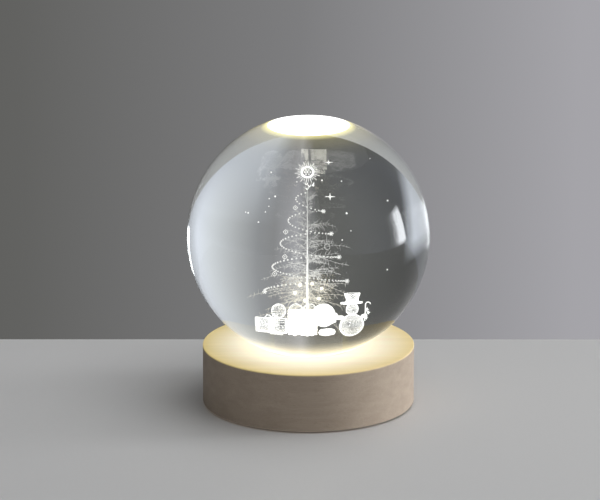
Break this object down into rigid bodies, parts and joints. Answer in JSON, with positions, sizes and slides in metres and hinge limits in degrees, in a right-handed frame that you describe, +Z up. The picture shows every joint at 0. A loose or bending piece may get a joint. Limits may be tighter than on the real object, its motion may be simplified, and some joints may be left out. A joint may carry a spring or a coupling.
{
  "type": "crystal ball lamp",
  "caption": "Engraved solid glass ball with a Christmas tree scene, standing in the seat of a lit round wooden base with a rocker switch and a battery door.",
  "frame": {"origin": "centre of the underside, on the surface that the rubber feet stand on", "axes": "+Z up along the ball's and the base's common axis, -Y towards the front from which the picture is seen, +Y towards the rocker switch, +X to the viewer's right"},
  "size_m": [0.08, 0.08, 0.0945],
  "materials": {
    "crystal": "polished clear optical glass with frosted ground flats",
    "engraving": "white laser engraving, fine cracks in the glass, lit from below",
    "wood": "sanded pale beech with a light oil",
    "frosted_window": "frosted acrylic, lit warm white",
    "white_plastic": "white moulding",
    "board": "white solder mask",
    "diode": "yellow phosphor in a white body",
    "resistor": "black chip",
    "tray_plastic": "fine-textured black moulding",
    "rubber": "matt",
    "screw_steel": "zinc plated",
    "switch_plastic": "satin black moulding",
    "rocker_plastic": "satin black with white marks",
    "terminal_brass": "tinned brass",
    "red_wire": "red insulation",
    "black_wire": "black insulation",
    "contact_steel": "nickel plated spring steel",
    "cell_sleeve": "plain printed sleeve with bare metal ends"
  },
  "bodies": {
    "base": {"wood_base": "wood", "light_window": "frosted_window", "reflector_ring": "white_plastic", "diode_board": "board", "diodes": "diode", "resistor": "resistor", "battery_tray": "tray_plastic", "battery_cell_1": "cell_sleeve", "battery_cell_2": "cell_sleeve", "battery_cell_3": "cell_sleeve", "contact_negative": "contact_steel", "contact_positive": "contact_steel", "contact_bridge_left": "contact_steel", "contact_bridge_right": "contact_steel", "rubber_feet": "rubber", "chassis_screws": "screw_steel", "switch_housing": "switch_plastic", "switch_terminals": "terminal_brass", "switch_lead": "red_wire", "board_lead": "red_wire", "return_lead": "black_wire"},
    "ball": {"crystal_ball": "crystal", "tree_trunk": "engraving", "tree_branches": "engraving", "bead_garland": "engraving", "star_topper": "engraving", "baubles": "engraving", "snowman": "engraving", "snowman_hat": "engraving", "candy_cane": "engraving", "gifts": "engraving", "gift_ribbons": "engraving", "sky_stars": "engraving"},
    "rocker": {"switch_rocker": "rocker_plastic"},
    "door": {"battery_door": "tray_plastic"}
  },
  "joints": [
    {"name": "ball_lift", "type": "slide", "parent": "base", "child": "ball", "axis": [0, 0, 1], "range_m": [0, 0.04]},
    {"name": "switch_rocker_pivot", "type": "hinge", "parent": "base", "child": "rocker", "pos_m": [0, 0.0334, 0.01], "axis": [0, 0, 1], "range_deg": [-20, 0]},
    {"name": "battery_door_hinge", "type": "hinge", "parent": "base", "child": "door", "pos_m": [0, 0.0152, 0.0014], "axis": [1, 0, 0], "range_deg": [0, 95]}
  ]
}
